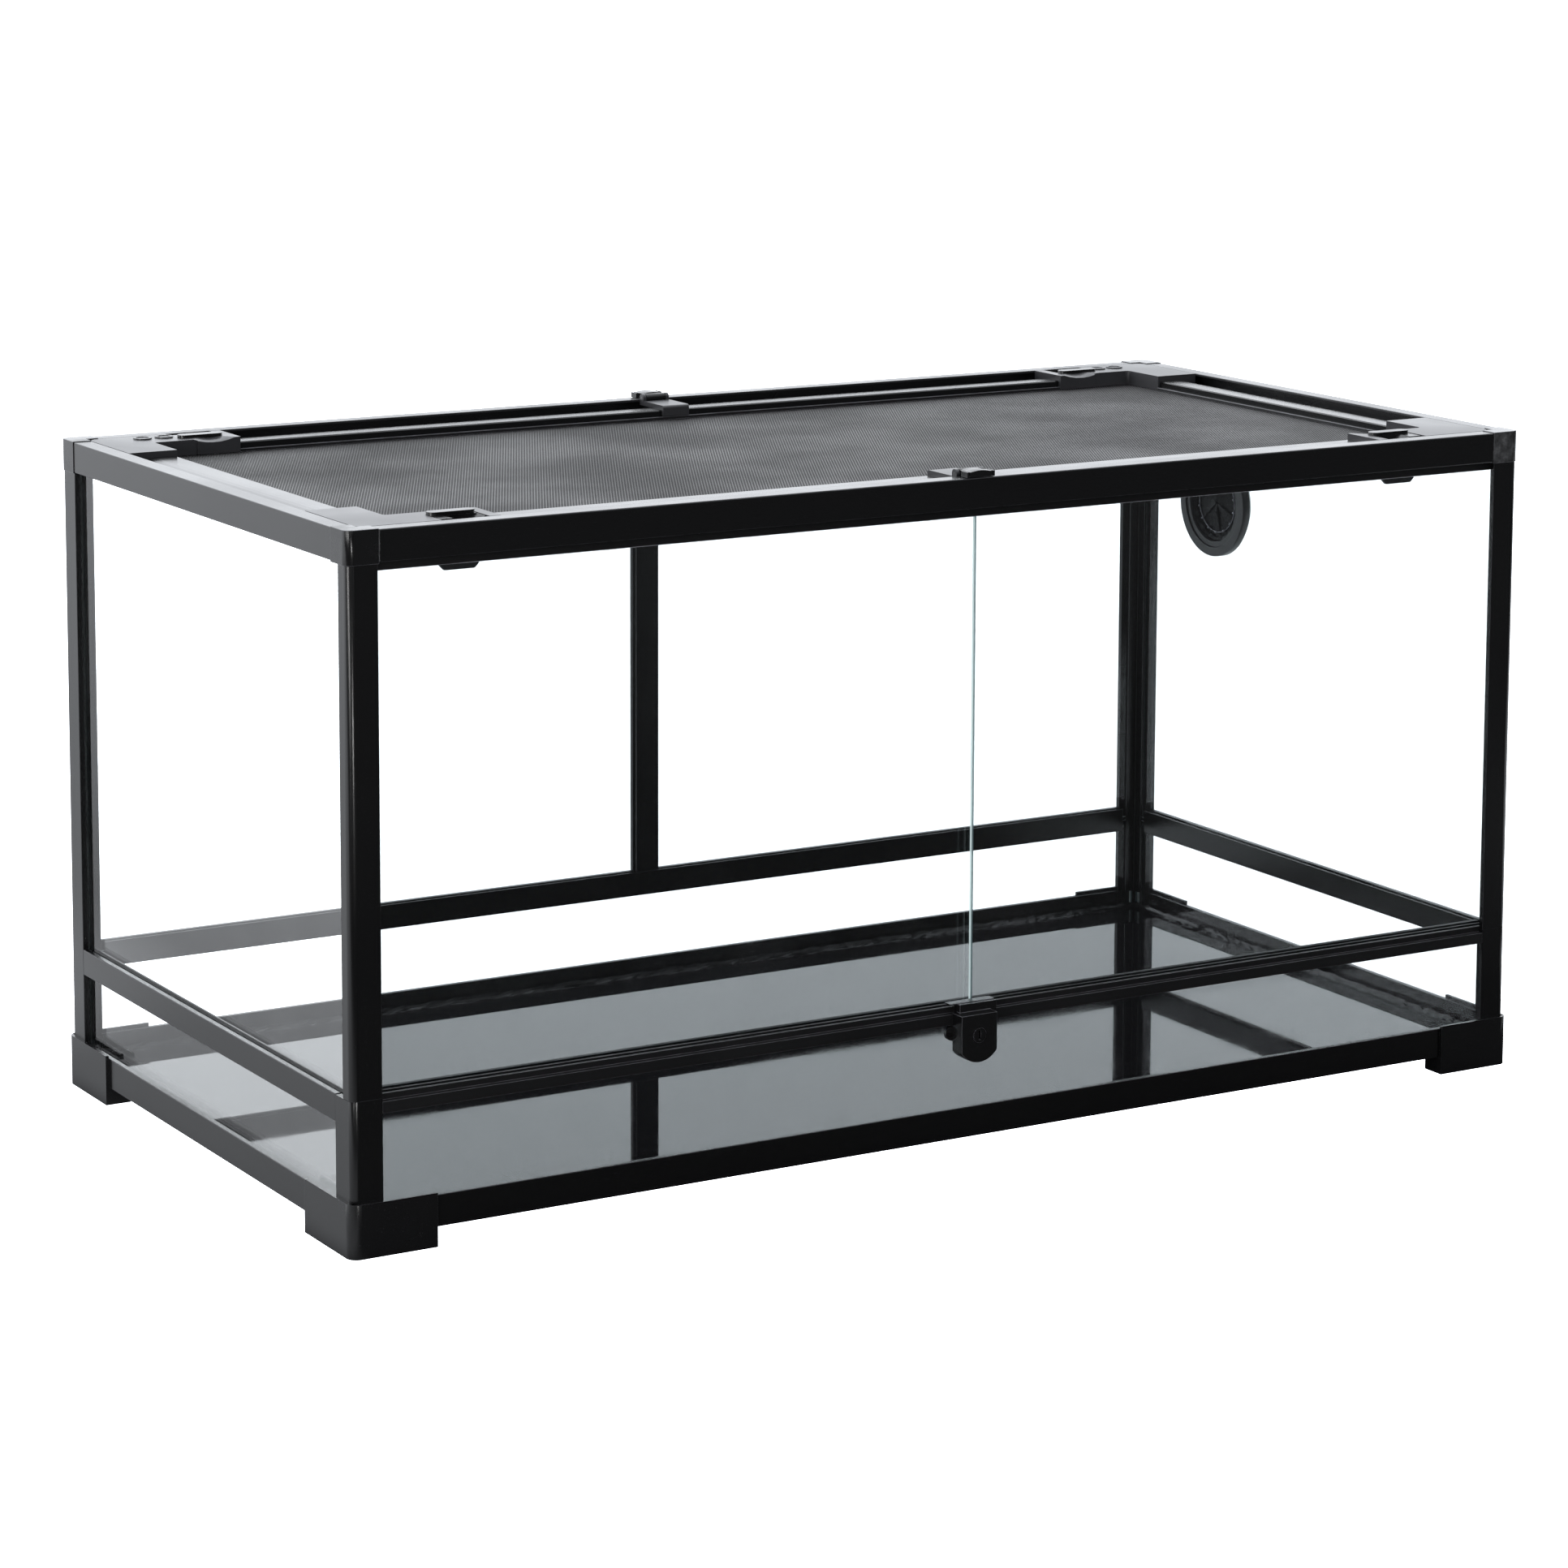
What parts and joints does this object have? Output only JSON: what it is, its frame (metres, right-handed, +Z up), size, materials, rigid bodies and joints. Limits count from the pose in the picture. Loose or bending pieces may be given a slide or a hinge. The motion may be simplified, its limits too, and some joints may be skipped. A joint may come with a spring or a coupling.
{
  "type": "reptile terrarium",
  "caption": "Glass reptile terrarium with a black rail frame, sliding front doors with a key lock, a side cable port and a lift-off mesh lid.",
  "frame": {"origin": "middle of the bounding box, on the floor under the feet", "axes": "+X along the front to the right, -Y out of the front doors, +Z up"},
  "size_m": [0.9188, 0.4788, 0.4658],
  "materials": {
    "black_frame": "satin black",
    "black_plastic": "fine satin moulding",
    "black_rubber": "soft matt",
    "steel": "satin",
    "mesh_wire": "black coated wire",
    "clear_glass": "polished, greenish edges"
  },
  "bodies": {
    "root": {"base_rail_front": "black_frame", "base_rail_back": "black_frame", "base_rail_left": "black_frame", "base_rail_right": "black_frame", "foot_front_left": "black_plastic", "foot_front_right": "black_plastic", "foot_back_left": "black_plastic", "foot_back_right": "black_plastic", "lower_post_left": "black_frame", "lower_post_right": "black_frame", "front_post_left": "black_frame", "front_post_right": "black_frame", "back_post_left": "black_frame", "back_post_right": "black_frame", "lower_door_track": "black_frame", "upper_door_track": "black_frame", "mid_rail_left": "black_frame", "mid_rail_right": "black_frame", "mid_rail_back": "black_frame", "back_mullion": "black_frame", "top_rail_front": "black_frame", "top_rail_back": "black_frame", "top_rail_left": "black_frame", "top_rail_right": "black_frame", "top_connectors": "black_plastic", "floor_pane": "clear_glass", "lower_pane_front": "clear_glass", "lower_pane_back": "clear_glass", "lower_pane_left": "clear_glass", "lower_pane_right": "clear_glass", "upper_pane_left": "clear_glass", "upper_pane_right": "clear_glass", "upper_pane_back_left": "clear_glass", "upper_pane_back_right": "clear_glass", "lock_body": "black_plastic", "port_ring": "black_plastic", "port_membrane": "black_rubber"},
    "left_door": {"left_door": "clear_glass"},
    "right_door": {"right_door": "clear_glass"},
    "lid": {"lid_rail_front": "black_frame", "lid_rail_back": "black_frame", "lid_rail_left": "black_frame", "lid_rail_right": "black_frame", "lid_corners": "black_plastic", "lid_mesh": "mesh_wire", "lid_spline": "black_rubber", "clip_arms": "black_plastic", "clip_pins": "steel"},
    "front_clip": {"clip_lever_front": "black_plastic"},
    "back_clip": {"clip_lever_back": "black_plastic"},
    "lock_core": {"lock_cylinder": "steel", "lock_cam": "steel"},
    "front_left_button": {"button_front_left": "black_plastic"},
    "front_right_button": {"button_front_right": "black_plastic"},
    "back_left_button": {"button_back_left": "black_plastic"},
    "back_right_button": {"button_back_right": "black_plastic"}
  },
  "joints": [
    {"name": "left_door_slide", "type": "slide", "parent": "root", "child": "left_door", "axis": [1, 0, 0], "range_m": [0, 0.435]},
    {"name": "right_door_slide", "type": "slide", "parent": "root", "child": "right_door", "axis": [-1, 0, 0], "range_m": [0, 0.45]},
    {"name": "lid_lift", "type": "slide", "parent": "root", "child": "lid", "axis": [0, 0, 1], "range_m": [0, 0.25]},
    {"name": "front_clip_flip", "type": "hinge", "parent": "lid", "child": "front_clip", "pos_m": [0.0044, -0.2107, 0.4623], "axis": [-1, 0, 0], "range_deg": [0, 100]},
    {"name": "back_clip_flip", "type": "hinge", "parent": "lid", "child": "back_clip", "pos_m": [0.0044, 0.2207, 0.4623], "axis": [1, 0, 0], "range_deg": [0, 100]},
    {"name": "lock_turn", "type": "hinge", "parent": "root", "child": "lock_core", "pos_m": [-0.0005, -0.233, 0.0857], "axis": [0, -1, 0], "range_deg": [0, 90]},
    {"name": "front_left_button_slide", "type": "slide", "parent": "lid", "child": "front_left_button", "axis": [0, -1, 0], "range_m": [0, 0.0045]},
    {"name": "front_right_button_slide", "type": "slide", "parent": "lid", "child": "front_right_button", "axis": [0, -1, 0], "range_m": [0, 0.0045]},
    {"name": "back_left_button_slide", "type": "slide", "parent": "lid", "child": "back_left_button", "axis": [0, 1, 0], "range_m": [0, 0.0045]},
    {"name": "back_right_button_slide", "type": "slide", "parent": "lid", "child": "back_right_button", "axis": [0, 1, 0], "range_m": [0, 0.0045]}
  ]
}
